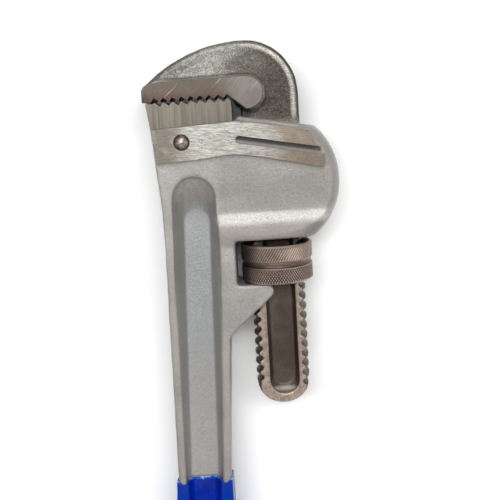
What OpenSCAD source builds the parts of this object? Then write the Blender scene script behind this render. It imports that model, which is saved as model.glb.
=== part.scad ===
// Adjustable pipe wrench with nearly closed jaws, lying on its side.
// The jaws are towards +Y, the handle towards -Y, and the thickness is along Z.
// Design coordinates: x from the axis of the hook jaw's shank, y from the
// middle of the nut, z from the middle plane of the wrench.

/* [Overall] */
// Length over the hook jaw and the grip with the jaws as drawn
closed_length = 418; // [400:1:440]
// Thickness of the head over its two machined bands
head_t = 35; // [34:0.5:37]
// Thickness of both toothed jaws
jaw_t = 26; // [24:0.5:28]

/* [Handle] */
// Width of the handle at the top of the grip
handle_w = 34.3; // [32:0.1:36]
// Width of the handle at its free end
handle_end_w = 32; // [30:0.5:34]
// Thickness of the handle at its free end
handle_end_t = 20; // [18:0.5:23]
// Thickness of the web between the two long recesses
web_t = 9; // [7:0.5:11]
// Diameter of the hole for hanging the wrench up
hang_d = 14; // [10:0.5:16]

/* [Grip] */
// Length of the handle that the dipped grip covers
grip_len = 142; // [120:1:160]
// Thickness of the dipped skin
grip_skin = 2.2; // [1.5:0.1:3]

/* [Hook jaw] */
// Height of the crown of the hook jaw above the middle of the nut
crown_y = 133.5; // [131:0.5:136]
// Thickness of the forging above and beside its ground faces
hook_t = 19.4; // [19:0.1:20]
// Width of the shank over the thread crests
shank_w = 34; // [33.6:0.1:34.1]
// Thickness of the shank
shank_t = 18.5; // [17:0.5:19]
// Length of the shank below the middle of the nut
shank_below = 91.5; // [89:0.5:94]
// Advance of the nut's thread in one turn
thread_pitch = 6.35; // [6:0.05:6.6]

/* [Teeth] */
// Number of teeth on the heel jaw
tooth_count = 8; // [6:1:8]
// Depth of a tooth
tooth_h = 2.3; // [1.8:0.1:2.4]

/* [Nut] */
// Outer diameter of the nut
nut_d = 44.4; // [43:0.1:45]
// Height of the nut
nut_h = 23.4; // [22.5:0.1:23.6]

/* [Hidden] */

$fn = 64;
eps = 0.01;
// Longer than the thickness, and longer than the whole wrench
deep = 80;
far = 500;

// Handle: where its centre line passes, and how its ends are rounded
grip_top_y = crown_y - closed_length + grip_len;
handle_end_y = crown_y - closed_length + grip_skin;
grip_top_x = -54.8;
handle_end_x = -59.4;
round_y = handle_end_y + handle_end_w / 2;
hang_y = handle_end_y + 15;
hang_x = handle_end_x + 0.5;

// Head: outline points and heights
head_left_x = -71.2;
seat_right = [-22, 87.1];
seat_deg = 2.7;
housing_top = [[-19.6, 90], [17, 83.4], [28.5, 81.6]];
bulge_c = [-3.5, 49.5];
bulge_r = 44;
bulge_round = 11;
bulge_left_x = 2;
cast_z = head_t / 2 - 1.9;
rim_z = head_t / 2 - 0.4;
window_left_x = -25.2;
window_top_y = 15.2;
window_bottom_y = -nut_h / 2 - 0.5;
window_corner = 2.6;
lug_tip = [-7.6, window_bottom_y - 4.6];
lug_tip_r = 4.6;
lug_z = 15.4;

// Channel for the shank, wider than the shank so that the jaw can rock
channel_z = max(hook_t, shank_t) / 2 + 0.4;
channel_left_x = -18.4;
channel_right_x = 22;
channel_low_y = 5;
fork_left_x = -20;

// Spring pocket in the outer wall of the housing
spring_y = 46;
pocket_r = 6.2;
pocket_end_x = 36;
leaf_pocket_x = 24.6;
leaf_pocket_h = 48;
leaf_pocket_w = 15;
leaf_x = 17.35;
leaf_t = 1.2;
leaf_w = 12;
leaf_straight = 14;
leaf_curl_r = 14;
leaf_curl_deg = 20;
wire_r = 0.75;
coil_r = 4.3;
coil_turns = 6;
rivet_r = 1.6;
rivet_head_r = 2.9;

// Pin that holds the heel jaw
pin_at = [-52.8, 76.4];
pin_r = 3.6;
pin_head_r = 4.9;
pin_head_h = 2.4;
pin_gap = 0.02;
tongue_z = 8;
tongue_x = [-62, -34];
tongue_bottom_y = 66;
tongue_gap = 0.1;

// Teeth: the last tooth is next to the throat, the first next to the nose
teeth_right_x = -24.6;
hook_teeth = 8;
tooth_pitch = 43 / hook_teeth;
tooth_lean = 0.63;
heel_tip_y = [100.4, 100.9];
hook_gullet_y = 102.9;
nose_under_y = 100.6;
nose_x = -74.8;
hook_half_w = 17.6;

// Thread: round grooves in the shank and a round rib in the nut
crest_r = shank_w / 2;
groove_r = 2.1;
groove_ring_r = crest_r + 0.2;
helix_deg = atan(thread_pitch / (2 * PI * groove_ring_r));
groove_span = 100;
thread_top_y = 24;
thread_low_y = -shank_below + 6;
rib_r = groove_r - 0.45;
nut_bore_r = crest_r + 0.4;
rib_root_r = nut_bore_r + 0.8;
rib_turns = 3;
rib_steps = 24;
nut_groove = [-1.6, 2];

// Where the design coordinates lie in the finished frame
far_x = bulge_c[0] + bulge_r;
near_x = min(nose_x, handle_left(round_y, grip_skin));
shift = [-(far_x + near_x) / 2, closed_length / 2 - crown_y, nut_d / 2];

steel = [0.62, 0.58, 0.54];
dark_steel = [0.38, 0.34, 0.31];
silver = [0.70, 0.69, 0.68];
blue = [0.02, 0.14, 0.62];

module place() {
    translate(shift) children();
}

module both_faces() {
    children();
    mirror([0, 0, 1]) children();
}

// A box given by its two opposite corners
module span(low, high) {
    translate(low) cube(high - low);
}

// An outline extruded evenly to both sides of the middle plane
module slab(t) {
    linear_extrude(height = t, center = true) children();
}

// Points of an arc about c from angle a to angle b
function arc(c, r, a, b, n = 10) =
    [for (i = [0:n]) c + r * [cos(a + (b - a) * i / n), sin(a + (b - a) * i / n)]];

// Height of the heel jaw's seat at x
function seat_y(x) = seat_right[1] - (seat_right[0] - x) * tan(seat_deg);

// ---------- handle casting ----------

// Left and right edge of the handle at height y, grown outwards by g
function handle_mix(y) = (grip_top_y - y) / (grip_top_y - round_y);
function handle_mid(y) = grip_top_x + (handle_end_x - grip_top_x) * handle_mix(y);
function handle_half(y) = (handle_w + (handle_end_w - handle_w) * handle_mix(y)) / 2;
function handle_left(y, g = 0) = handle_mid(y) - handle_half(y) - g;
function handle_right(y, g = 0) = handle_mid(y) + handle_half(y) + g;

// The long part of the handle from height top down to its round end
module handle_outline(top, g = 0) {
    polygon(concat([[handle_left(top, g), top], [handle_right(top, g), top]],
                   arc([handle_end_x, round_y], handle_end_w / 2 + g, 0, -180, 24)));
}

// Upper part: heel seat, window wall and lug, without the housing
module head_outline() {
    neck = [-33.4, -72];
    armpit_r = 8;
    armpit_x = -31.9;
    lug_deg = 42.4;
    lug_low = lug_tip + lug_tip_r * [sin(lug_deg), -cos(lug_deg)];
    armpit_y = lug_low[1] + (armpit_x + armpit_r - lug_low[0]) * tan(lug_deg)
        - armpit_r / cos(lug_deg);
    polygon(concat(
        [[head_left_x, seat_y(head_left_x)], [-67.9, 37], [-67.6, 12], [-69.3, -35],
         [handle_left(grip_top_y), grip_top_y], [handle_right(grip_top_y), grip_top_y], neck],
        arc([armpit_x + armpit_r, armpit_y], armpit_r, 180, 90 + lug_deg, 6),
        arc(lug_tip, lug_tip_r, lug_deg - 90, 90),
        [[window_left_x, window_bottom_y], [window_left_x, window_top_y],
         [-10, window_top_y], [-10, 80], seat_right]));
    handle_outline(grip_top_y);
}

// Housing around the shank, before its outer wall is rounded
module housing_outline() {
    notch_r = 2.6;
    corner = housing_top[0];
    polygon(concat(
        [[-30, window_top_y], [60, window_top_y], [60, housing_top[2][1]]],
        [housing_top[2], housing_top[1], corner],
        arc([corner[0] - notch_r, corner[1] - 0.4], notch_r, 0, -90),
        [[-30, seat_right[1] - 0.6]]));
}

// Half thickness of the casting along its length, as points [y, half thickness]
function side_profile(g = 0) = [
    [130, cast_z], [28, cast_z], [25.8, cast_z + 0.3], [21.6, rim_z - 0.3], [19.2, rim_z],
    [4, rim_z], [-12, lug_z], [-45, 13.2], [-110, 11.6], [-160, handle_end_t / 2 + 1 + g],
    [handle_end_y - 20, handle_end_t / 2 + g]];

module side_solid(g = 0) {
    edge = side_profile(g);
    outline = concat(edge, [for (i = [len(edge) - 1:-1:0]) [edge[i][0], -edge[i][1]]]);
    // The polygon lies in the y-z plane and is extruded along x
    rotate([90, 0, 90]) linear_extrude(height = far, center = true) polygon(outline);
}

// The bulge is rounded over towards both faces
module bulge_solid() {
    union() {
        span([-far, -far, -deep], [bulge_left_x, far, deep]);
        translate([bulge_c[0], bulge_c[1], 0])
            rotate_extrude($fn = 128)
                bulge_section();
    }
}

module bulge_section() {
    side_z = rim_z - bulge_round;
    union() {
        translate([0, -deep / 2]) square([bulge_r - bulge_round, deep]);
        translate([0, -side_z]) square([bulge_r, 2 * side_z]);
        for (s = [-1, 1])
            translate([bulge_r - bulge_round, s * side_z]) circle(r = bulge_round);
    }
}

// Machined bands across both faces of the head, with a slot that makes two rails
module band_outline() {
    difference() {
        polygon([[head_left_x + 0.9, seat_y(head_left_x) - 0.3], [-68.8, 64.4], [-42.6, 66],
                 [-25.8, 67.9], [-20, 67.6], [-7.2, 65.7], [30, 57.3], [31.2, 64.2], [26.3, 69.8],
                 [22.6, 79.1], [-6.1, 84.7], [-19.6, 86.8], [-31, 86.3]]);
        union() {
            translate([-18.9, 76.1]) circle(r = 2.3);
            polygon([[-18.9, 73.8], [-18.9, 78.4], [27, 69.6], [40, 66], [40, 62.6], [31.2, 64.2]]);
        }
    }
}

// Long recess in each face, with sloping walls; g is the thickness of a skin that lines it
module recess(g = 0) {
    lip_z = 14;
    floor_z = web_t / 2 + g;
    end_y = hang_y + hang_d / 2 + 14 + g;
    hull() {
        translate([0, 0, floor_z])
            linear_extrude(height = eps)
                polygon(concat(
                    arc([-48.2, 27.4], 8 - g, 0, 180),
                    [[handle_left(-60) + 9.9 + g, -60], [handle_left(end_y) + 6.6 + g, end_y + 8],
                     [handle_right(end_y) - 6.6 - g, end_y + 8],
                     [handle_right(-60) - 10 - g, -60]]));
        translate([0, 0, lip_z]) linear_extrude(height = eps) recess_lip(g, end_y);
    }
    translate([0, 0, lip_z]) linear_extrude(height = 10) recess_lip(g, end_y);
}

// Outline of a recess where its walls meet the face of the handle
module recess_lip(g, end_y) {
    polygon(concat(
        arc([-48.3, 43], 12.8 - g, 8, 172),
        [[-62.9 + g, 5], [handle_left(end_y) + 5 + g, end_y + 2],
         [handle_right(end_y) - 5 - g, end_y + 2], [-35 - g, 5]]));
}

module casting() {
    difference() {
        intersection() {
            slab(deep) union() {
                head_outline();
                housing_outline();
            }
            side_solid();
            bulge_solid();
        }
        both_faces() recess();
    }
}

module handle_body() {
    color(silver) place()
    difference() {
        union() {
            casting();
            slab(head_t) band_outline();
        }
        // Channel for the shank through the housing
        span([channel_left_x, channel_low_y, -channel_z], [channel_right_x, far, channel_z]);
        // Fork of the lug
        span([fork_left_x, -far, -channel_z], [bulge_left_x, channel_low_y, channel_z]);
        // Rounded corners at the closed side of the window
        window_relief();
        // Pockets for the springs
        span([channel_right_x - 1, spring_y - leaf_pocket_h / 2, -leaf_pocket_w / 2],
             [leaf_pocket_x, spring_y + leaf_pocket_h / 2, leaf_pocket_w / 2]);
        translate([channel_right_x, spring_y, 0]) rotate([0, 90, 0])
            cylinder(r = pocket_r, h = pocket_end_x - channel_right_x);
        // Slot for the heel jaw's tongue, and the hole for its pin
        span([tongue_x[0] - tongue_gap, tongue_bottom_y - tongue_gap, -tongue_z - tongue_gap],
             [tongue_x[1] + tongue_gap, far, tongue_z + tongue_gap]);
        translate([pin_at[0], pin_at[1], 0]) cylinder(r = pin_r + pin_gap, h = deep, center = true);
        translate([hang_x, hang_y, 0]) cylinder(r = hang_d / 2, h = deep, center = true);
    }
}

// Rounds the upper corner of the window's closed side
module window_relief() {
    slab(deep) difference() {
        translate([window_left_x, window_top_y - window_corner])
            square([window_corner, window_corner + eps]);
        translate([window_left_x + window_corner, window_top_y - window_corner])
            circle(r = window_corner);
    }
}

// ---------- grip ----------

module grip_shell(g) {
    difference() {
        intersection() {
            slab(deep) handle_outline(grip_top_y, g);
            side_solid(g);
        }
        both_faces() recess(g);
    }
}

module grip() {
    fit_gap = 0.03;
    collar_r = hang_d / 2 + 3;
    color(blue) place()
    difference() {
        grip_shell(grip_skin);
        grip_shell(fit_gap);
        span([-far, grip_top_y - eps, -deep], [far, far, deep]);
        translate([hang_x, hang_y, 0]) cylinder(r = collar_r, h = deep, center = true);
    }
}

// ---------- heel jaw and its pin ----------

// One row of teeth: n tips between x_left and x_right, leaning away from the throat
function tooth_row(n, x_right, pitch, tip_y, root_drop) = [
    for (i = [0:n]) for (k = [0:1])
        let (x = x_right - (n - i) * pitch, tip = tip_y[0] + (tip_y[1] - tip_y[0]) * i / n)
        if (k == 0) [x, tip]
        else if (i < n) [x + tooth_lean * pitch, tip - root_drop]
];

module heel_outline() {
    first_x = teeth_right_x - tooth_count * tooth_pitch;
    polygon(concat(
        [[head_left_x, seat_y(head_left_x)], [-73, 99.7], [first_x - 1.2, 99.7]],
        tooth_row(tooth_count, teeth_right_x, tooth_pitch, heel_tip_y, tooth_h),
        [[-23.4, 100], [-22.3, 98.4], seat_right]));
}

module heel_jaw() {
    color(steel) place()
    difference() {
        union() {
            slab(jaw_t) heel_outline();
            span([tongue_x[0], tongue_bottom_y, -tongue_z], [tongue_x[1], 90, tongue_z]);
        }
        translate([pin_at[0], pin_at[1], 0]) cylinder(r = pin_r + pin_gap, h = deep, center = true);
    }
}

// Round pin with a domed head on each face
module heel_jaw_pin() {
    dome_r = (pin_head_r * pin_head_r + pin_head_h * pin_head_h) / (2 * pin_head_h);
    color(steel) place()
    translate([pin_at[0], pin_at[1], 0]) {
        cylinder(r = pin_r, h = head_t, center = true);
        both_faces()
            intersection() {
                translate([0, 0, head_t / 2 + pin_head_h - dome_r]) sphere(r = dome_r);
                translate([0, 0, head_t / 2]) cylinder(r = pin_head_r + 1, h = pin_head_h + 1);
            }
    }
}

// ---------- springs ----------

// A tube swept along points, with one ring per point
module sweep(path, r, sides) {
    last = len(path) - 1;
    function ahead(i) = path[min(i + 1, last)] - path[max(i - 1, 0)];
    function unit(v) = v / norm(v);
    rings = [for (i = [0:last])
        let (t = unit(ahead(i)), u = unit(cross(t, [1, 0, 0])), v = cross(t, u))
        for (k = [0:sides - 1])
            path[i] + r * (cos(360 * k / sides) * u + sin(360 * k / sides) * v)];
    walls = [for (i = [0:last - 1]) for (k = [0:sides - 1])
        let (a = i * sides + k, b = i * sides + (k + 1) % sides)
        each [[a, a + sides, b + sides], [a, b + sides, b]]];
    caps = [[for (k = [0:sides - 1]) k], [for (k = [sides - 1:-1:0]) last * sides + k]];
    polyhedron(points = rings, faces = concat(walls, caps), convexity = 6);
}

// Coil between the bottom of its pocket and the flat spring
module coil_spring() {
    steps = 16;
    x_low = leaf_x + leaf_t + wire_r + 0.15;
    x_high = pocket_end_x - wire_r - 0.05;
    turns = [for (i = [0:coil_turns * steps])
        let (a = 360 * i / steps, f = i / (coil_turns * steps))
        [x_low + (x_high - x_low) * f, spring_y + coil_r * cos(a), coil_r * sin(a)]];
    color(steel) place() sweep(turns, wire_r, 8);
}

// Strip that bears on the shank's outer edge, with curled ends
module flat_spring() {
    color(steel) place()
    difference() {
        slab(leaf_w) union() {
            translate([leaf_x, spring_y - leaf_straight]) square([leaf_t, 2 * leaf_straight]);
            for (s = [-1, 1])
                translate([leaf_x + leaf_curl_r, spring_y + s * leaf_straight])
                    intersection() {
                        difference() {
                            circle(r = leaf_curl_r, $fn = 96);
                            circle(r = leaf_curl_r - leaf_t, $fn = 96);
                        }
                        polygon([[0, 0], [-30, 0], [-30, s * 30 * tan(leaf_curl_deg)]]);
                    }
        }
        translate([leaf_x - 1, spring_y, 0]) rotate([0, 90, 0])
            cylinder(r = rivet_r + pin_gap, h = leaf_t + 2);
    }
}

// Rivet that joins the flat spring to the end of the coil
module spring_rivet() {
    head_h = 1.3;
    head_dome_r = 3.9;
    color(dark_steel) place()
    translate([leaf_x, spring_y, 0]) rotate([0, 90, 0]) {
        cylinder(r = rivet_r, h = leaf_t + head_h / 2);
        translate([0, 0, leaf_t]) intersection() {
            translate([0, 0, head_h - head_dome_r]) sphere(r = head_dome_r);
            cylinder(r = rivet_head_r, h = head_h);
        }
    }
}

// ---------- adjusting nut ----------

// Rounded rib of the nut's thread: its profile in (radius, height) follows a helix
module nut_rib() {
    profile = concat([[rib_root_r, -rib_r]],
                     [for (k = [0:6]) let (a = 270 - 30 * k)
                         [groove_ring_r + rib_r * cos(a), rib_r * sin(a)]],
                     [[rib_root_r, rib_r]]);
    sides = len(profile);
    last = rib_turns * rib_steps;
    // The turn angle is measured from +z towards +x, and height grows with it
    points = [for (i = [0:last])
        let (a = 360 * i / rib_steps, y = thread_pitch * (i / rib_steps - rib_turns / 2))
        for (p = profile) [p[0] * sin(a), y + p[1], p[0] * cos(a)]];
    walls = [for (i = [0:last - 1]) for (k = [0:sides - 1])
        let (a = i * sides + k, b = i * sides + (k + 1) % sides)
        each [[a, a + sides, b + sides], [a, b + sides, b]]];
    caps = [[for (k = [0:sides - 1]) k], [for (k = [sides - 1:-1:0]) last * sides + k]];
    polyhedron(points = points, faces = concat(walls, caps), convexity = 6);
}

// Half section of the nut: countersunk bore, thin rims, and a groove between two bands
module nut_section() {
    half = nut_h / 2;
    r = nut_d / 2;
    sink_h = 3.4;
    rim_r = r - 1.9;
    edge = 0.9;
    polygon([[nut_bore_r, -half + sink_h], [rim_r, -half], [r - edge, -half], [r, -half + edge],
             [r, nut_groove[0] - edge / 2], [r - edge, nut_groove[0]],
             [r - edge, nut_groove[1]], [r, nut_groove[1] + edge / 2],
             [r, half - edge], [r - edge, half], [rim_r, half], [nut_bore_r, half - sink_h]]);
}

module adjusting_nut() {
    color(dark_steel) place()
    union() {
        rotate([-90, 0, 0]) rotate_extrude($fn = 128) nut_section();
        nut_rib();
    }
}

// ---------- hook jaw ----------

function groove_phase() = thread_pitch * (rib_turns / 2 % 1);

// Grooves along one edge: side is 1 for the outer edge and -1 for the inner edge
module groove_row(side) {
    first = ceil(thread_low_y / thread_pitch);
    last = floor(thread_top_y / thread_pitch);
    quarter = side > 0 ? 0.25 : 0.75;
    for (i = [first:last])
        translate([0, thread_pitch * (i + quarter) + groove_phase(), 0])
            rotate([side * helix_deg, 0, 0])
                rotate([90, groove_span / 2 + (side > 0 ? 0 : 180), 0])
                    rotate_extrude(angle = groove_span, $fn = 96)
                        translate([groove_ring_r, 0]) circle(r = groove_r, $fn = 32);
}

// Long recess in a face of the shank, with sloping walls and round ends
module shank_pocket() {
    middle_x = 0.8;
    top_y = 58;
    bottom_y = -shank_below + 14.5;
    wide = 9.4;
    narrow = 7.3;
    end_slope = 4;
    floor_z = shank_t / 2 - 4.2;
    hull() {
        translate([middle_x, 0, shank_t / 2])
            linear_extrude(height = eps) round_slot(bottom_y, top_y, wide);
        translate([middle_x, 0, floor_z])
            linear_extrude(height = eps)
                round_slot(bottom_y + end_slope, top_y - end_slope, narrow);
    }
}

// Slot outline with round ends about two centres on the y axis
module round_slot(low, high, r) {
    for (y = [low, high])
        translate([0, y]) circle(r = r, $fn = 32);
    translate([-r, low]) square([2 * r, high - low]);
}

// Flat bar with round edges and a round end, grooved on both edges
module shank() {
    end_y = -shank_below + crest_r;
    top_y = 90;
    difference() {
        intersection() {
            slab(shank_t) union() {
                translate([0, end_y]) circle(r = crest_r, $fn = 96);
                translate([-crest_r, end_y]) square([shank_w, top_y - end_y]);
            }
            rotate([-90, 0, 0]) cylinder(r = crest_r, h = far, center = true, $fn = 128);
        }
        groove_row(1);
        groove_row(-1);
        both_faces() shank_pocket();
    }
}

// Toothed underside of the hook jaw, from the nose to the neck, closed upwards
module hook_underside() {
    first_x = teeth_right_x - hook_teeth * tooth_pitch;
    polygon(concat(
        [[nose_x - 10, 60], [nose_x - 10, nose_under_y], [first_x - 1.8, nose_under_y]],
        [for (i = [0:hook_teeth]) for (k = [0:1])
            let (x = first_x + i * tooth_pitch)
            if (k == 0) [x, hook_gullet_y]
            else if (i < hook_teeth) [x + tooth_lean * tooth_pitch, hook_gullet_y - tooth_h]],
        [[-20.4, 97.6], [-crest_r, 91], [-crest_r, 60]]));
}

// Outline of the forging: a long arc over the jaw that turns down into the neck
module hook_outline() {
    crown_x = -14;
    long_r = 88;
    short_r = hook_half_w - crown_x;
    neck_left_x = -17;
    neck_low_y = 72;
    nose_low_y = 95;
    nose_high_y = 109;
    difference() {
        union() {
            intersection() {
                translate([crown_x, crown_y - long_r]) circle(r = long_r, $fn = 192);
                translate([nose_x, nose_low_y]) square([crown_x - nose_x, 80]);
            }
            intersection() {
                translate([crown_x, crown_y - short_r]) circle(r = short_r, $fn = 128);
                translate([crown_x - eps, crown_y - short_r]) square([60, 80]);
            }
            translate([neck_left_x, neck_low_y])
                square([hook_half_w - neck_left_x, crown_y - short_r - neck_low_y]);
            translate([nose_x, nose_low_y]) square([20, nose_high_y - nose_low_y]);
        }
        hook_underside();
    }
}

// Ground faces on both sides of the toothed part, ending in a round lobe
module ground_outline() {
    lobe = [-12.6, 103.2];
    difference() {
        union() {
            translate(lobe) circle(r = 9.1);
            polygon([[nose_x, 90], [nose_x, 107.4], [-73.4, 109.8], [-71, 111.1], [-62, 112],
                     [lobe[0], 112.6], [lobe[0], 94.1]]);
        }
        hook_underside();
        polygon([[-24.6, hook_gullet_y], [lobe[0] - 0.8, 93.9], [-40, 85]]);
    }
}

module hook_jaw() {
    color(dark_steel) place()
    union() {
        shank();
        slab(hook_t) hook_outline();
        slab(jaw_t) ground_outline();
    }
}

handle_body();
grip();
heel_jaw();
heel_jaw_pin();
coil_spring();
flat_spring();
spring_rivet();
adjusting_nut();
hook_jaw();
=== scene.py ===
"""A straight pipe wrench lying on a pale floor: the looks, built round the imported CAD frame.

Lengths are in metres. Shapes are laid out in millimetres from the middle of the adjusting nut,
which lies on the shank's axis and in the wrench's middle plane.
"""

import math

import bmesh
import bpy
import numpy as np
from mathutils import Matrix, Vector, noise


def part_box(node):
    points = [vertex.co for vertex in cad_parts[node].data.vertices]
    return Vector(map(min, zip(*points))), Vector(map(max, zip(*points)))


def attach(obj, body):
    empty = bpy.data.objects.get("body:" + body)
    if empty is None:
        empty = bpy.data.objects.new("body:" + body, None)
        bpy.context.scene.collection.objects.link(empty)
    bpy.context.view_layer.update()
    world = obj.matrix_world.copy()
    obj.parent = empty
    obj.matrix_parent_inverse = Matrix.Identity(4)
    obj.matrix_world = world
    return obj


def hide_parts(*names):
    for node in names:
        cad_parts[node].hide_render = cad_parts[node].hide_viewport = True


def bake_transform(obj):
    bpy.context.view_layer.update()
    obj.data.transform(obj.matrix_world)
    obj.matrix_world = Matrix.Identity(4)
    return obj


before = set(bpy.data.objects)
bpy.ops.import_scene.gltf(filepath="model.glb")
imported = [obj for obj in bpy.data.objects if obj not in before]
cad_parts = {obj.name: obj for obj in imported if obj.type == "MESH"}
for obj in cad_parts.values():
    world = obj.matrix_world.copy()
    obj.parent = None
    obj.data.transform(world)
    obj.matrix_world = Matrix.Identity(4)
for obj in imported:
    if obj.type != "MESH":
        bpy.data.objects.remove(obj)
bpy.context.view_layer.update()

MM = 0.001


def centre_of(node):
    """Middle of a CAD node's box."""
    low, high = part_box(node)
    return (low + high) / 2


def extent_of(node):
    """Size of a CAD node's box."""
    low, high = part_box(node)
    return high - low


NUT = centre_of("adjusting_nut")
# Millimetres from the middle of the nut:
HEAD_HALF = 17.5  # the faces of the ground bands on the head
STRIP_HALF = 15.5  # the edge of the handle beside its recess, near the head
BAND_FOOT = 50  # just below the lowest point of the ground bands
JAW_FOOT = 80  # between the shank's thread and the hook jaw's toothed block
JAW_HALF = extent_of("heel_jaw").z / 2 / MM  # the ground faces of both jaws
HEEL_RIGHT = (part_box("heel_jaw")[1].x - NUT.x) / MM  # the heel jaw's side towards the shank
SHANK_END = (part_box("hook_jaw")[0].y - NUT.y) / MM
GRIP_TOP = (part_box("grip")[1].y - NUT.y) / MM
# Other sizes, in millimetres:
PITCH = 6.35  # one turn of the thread
SKIN_VOXEL = 0.6  # spacing of the remeshed casting and grip
FORGING_VOXEL = 0.5  # spacing of the remeshed hook jaw
BAND_FALL = 0.1917  # how far the head's ground band drops for each millimetre towards +X


def at(x, y, z=0.0):
    """The point x, y, z millimetres from the middle of the nut."""
    return NUT + Vector((x, y, z)) * MM


def local(points):
    """Points in metres as millimetres from the middle of the nut."""
    return (points - np.array(NUT)) / MM


def smoothstep(low, high, value):
    """0 below low, 1 above high, and smooth between them."""
    t = np.clip((value - low) / (high - low), 0, 1)
    return t * t * (3 - 2 * t)


# ---------- mesh helpers ----------


def points_of(mesh):
    """Vertex positions as an array."""
    co = np.zeros(len(mesh.vertices) * 3, np.float32)
    mesh.vertices.foreach_get("co", co)
    return co.reshape(-1, 3).astype(float)


def set_points(mesh, points):
    mesh.vertices.foreach_set("co", points.astype(np.float32).ravel())
    mesh.update()


def normals_of(mesh):
    """Vertex normals as an array."""
    found = np.zeros(len(mesh.vertices) * 3, np.float32)
    mesh.vertex_normals.foreach_get("vector", found)
    return found.reshape(-1, 3).astype(float)


def store(mesh, name, values):
    """Keeps one number for each vertex as a named attribute, for the materials."""
    made = mesh.attributes.new(name, "FLOAT", "POINT")
    made.data.foreach_set("value", values.astype(np.float32))


def new_object(name, data):
    obj = bpy.data.objects.new(name, data)
    bpy.context.scene.collection.objects.link(obj)
    return obj


def mesh_from(name, bm):
    """An object made from a bmesh, which is freed."""
    mesh = bpy.data.meshes.new(name)
    bm.to_mesh(mesh)
    bm.free()
    return new_object(name, mesh)


def welded(node):
    """A bmesh of a CAD node with its split vertices joined."""
    bm = bmesh.new()
    bm.from_mesh(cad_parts[node].data)
    bmesh.ops.remove_doubles(bm, verts=bm.verts, dist=1e-6)
    return bm


def apply_modifiers(obj):
    """Replaces the object's mesh by the one that its modifiers give."""
    graph = bpy.context.evaluated_depsgraph_get()
    made = bpy.data.meshes.new_from_object(obj.evaluated_get(graph))
    obj.modifiers.clear()
    obj.data = made


def remesh(obj, voxel):
    """Even quads over the whole surface, voxel millimetres apart."""
    change = obj.modifiers.new("even", "REMESH")
    change.mode = "VOXEL"
    change.voxel_size = voxel * MM
    apply_modifiers(obj)


def relax(mesh, rounds, weight):
    """Rounds edges off: each vertex moves towards its neighbours' mean, scaled by its weight."""
    edges = np.zeros(len(mesh.edges) * 2, np.int32)
    mesh.edges.foreach_get("vertices", edges)
    a, b = edges.reshape(-1, 2).T
    both, other = np.concatenate([a, b]), np.concatenate([b, a])
    points = points_of(mesh)
    count = np.maximum(np.bincount(both, minlength=len(points)), 1)
    step = (0.5 * weight)[:, None]
    for _ in range(rounds):
        mean = np.stack(
            [np.bincount(both, points[other, k], len(points)) / count for k in range(3)], axis=1
        )
        points += step * (mean - points)
    set_points(mesh, points)


def roughen(mesh, waves, weight=1.0):
    """Moves the surface along its normals by smooth noise.

    waves lists pairs: how long a wave is and how high, in millimetres.
    """
    points, normals = points_of(mesh), normals_of(mesh)
    shift = np.zeros(len(points))
    for length, height in waves:
        scaled = points / (length * MM)
        shift += height * MM * np.array([noise.noise(Vector(p)) for p in scaled])
    set_points(mesh, points + normals * (shift * weight)[:, None])


def thin_out(obj, share):
    """Fewer triangles where the surface is flat."""
    change = obj.modifiers.new("fewer", "DECIMATE")
    change.ratio = share
    apply_modifiers(obj)


def bevel(obj, width, angle=30):
    """Breaks the object's edges that are sharper than angle, width millimetres wide."""
    change = obj.modifiers.new("broken_edges", "BEVEL")
    change.width = width * MM
    change.segments = 2
    change.limit_method = "ANGLE"
    change.angle_limit = math.radians(angle)
    apply_modifiers(obj)


def shade(obj, angle):
    """Smooth shading with edges sharper than angle left sharp."""
    obj.data.polygons.foreach_set("use_smooth", np.ones(len(obj.data.polygons), bool))
    obj.data.set_sharp_from_angle(angle=math.radians(angle))


def mark_tilt(obj):
    """Stores how much each point faces up or down: 1 on the faces, 0 on the sides."""
    store(obj.data, "tilt", np.abs(normals_of(obj.data)[:, 2]))


def mark_lip(obj):
    """Stores how near each point is to the open end of the sleeve: 1 at the end, 0 past the lip.

    The end is found anew in each of many sectors round the sleeve, because it is wavy.
    """
    x, y, z = local(points_of(obj.data)).T
    middle_x = (centre_of("grip").x - NUT.x) / MM
    sectors, lip = 120, 2.2
    sector = ((np.arctan2(z, x - middle_x) / (2 * math.pi) + 0.5) * sectors).astype(int) % sectors
    end = np.full(sectors, -np.inf)
    np.maximum.at(end, sector, y)
    store(obj.data, "lip", smoothstep(lip, 0.3, end[sector] - y))


def face_block(name, node, level, foot, depth):
    """The flat faces of a CAD node at height level and past y = foot, extruded down by depth."""
    bm = welded(node)
    plane, line, slack = at(0, 0, level).z, at(0, foot).y, 0.05 * MM

    def wanted(face):
        flat = all(abs(v.co.z - plane) < slack for v in face.verts)
        return flat and face.calc_center_median().y > line

    others = [f for f in bm.faces if not wanted(f)]
    bmesh.ops.delete(bm, geom=others, context="FACES")
    made = bmesh.ops.extrude_face_region(bm, geom=bm.faces[:], use_keep_orig=True)
    moved = [g for g in made["geom"] if isinstance(g, bmesh.types.BMVert)]
    bmesh.ops.translate(bm, verts=moved, vec=(0, 0, -depth * MM))
    bmesh.ops.recalc_face_normals(bm, faces=bm.faces)
    return mesh_from(name, bm)


def grid_faces(rings, steps, closed=False):
    """Quads between neighbouring rings of points, and from the last ring to the first if closed."""
    faces = []
    for i in range(rings if closed else rings - 1):
        for k in range(steps):
            n = (k + 1) % steps
            low, high = i * steps, (i + 1) % rings * steps
            faces.append([low + k, low + n, high + n, high + k])
    return faces


def capped_faces(rings, steps):
    """The same quads with a flat cap on the first ring and on the last."""
    caps = [list(range(steps))[::-1], list(range((rings - 1) * steps, rings * steps))]
    return grid_faces(rings, steps) + caps


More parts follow.
